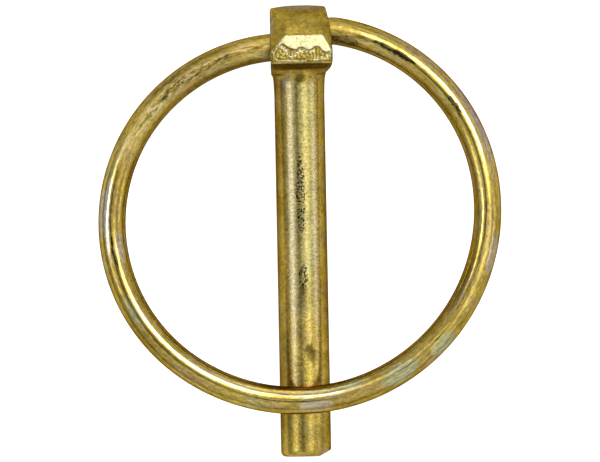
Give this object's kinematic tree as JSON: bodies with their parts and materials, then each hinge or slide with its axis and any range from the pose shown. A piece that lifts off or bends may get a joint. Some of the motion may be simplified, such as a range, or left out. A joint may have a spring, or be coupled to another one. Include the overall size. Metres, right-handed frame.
{
  "type": "lynch pin",
  "caption": "Headed round pin with a spring-wire ring hinged through its head that closes over the tip.",
  "frame": {"origin": "on the shank's axis, level with the flat shoulder under the head", "axes": "+Y up the shank to the crest of the head, -Y towards the tip, +X to the right seen from the nose's side, +Z out of the side that carries the nose and the closed ring"},
  "size_m": [0.0509, 0.057, 0.0106],
  "materials": {
    "pin_plating": "forged carbon steel with yellow chromate over zinc, slightly speckled",
    "ring_plating": "drawn spring wire with yellow chromate over zinc, iridescent in patches"
  },
  "bodies": {
    "pin": {"pin": "pin_plating"},
    "ring": {"ring": "ring_plating"}
  },
  "joints": [
    {"name": "ring_swing", "type": "hinge", "parent": "pin", "child": "ring", "pos_m": [0.00038, 0.00445, 0.0008], "axis": [-0.9952, -0.0976, 0], "range_deg": [0, 180], "stiffness_Nm_per_rad": 0.06, "springref_deg": -11.46}
  ]
}
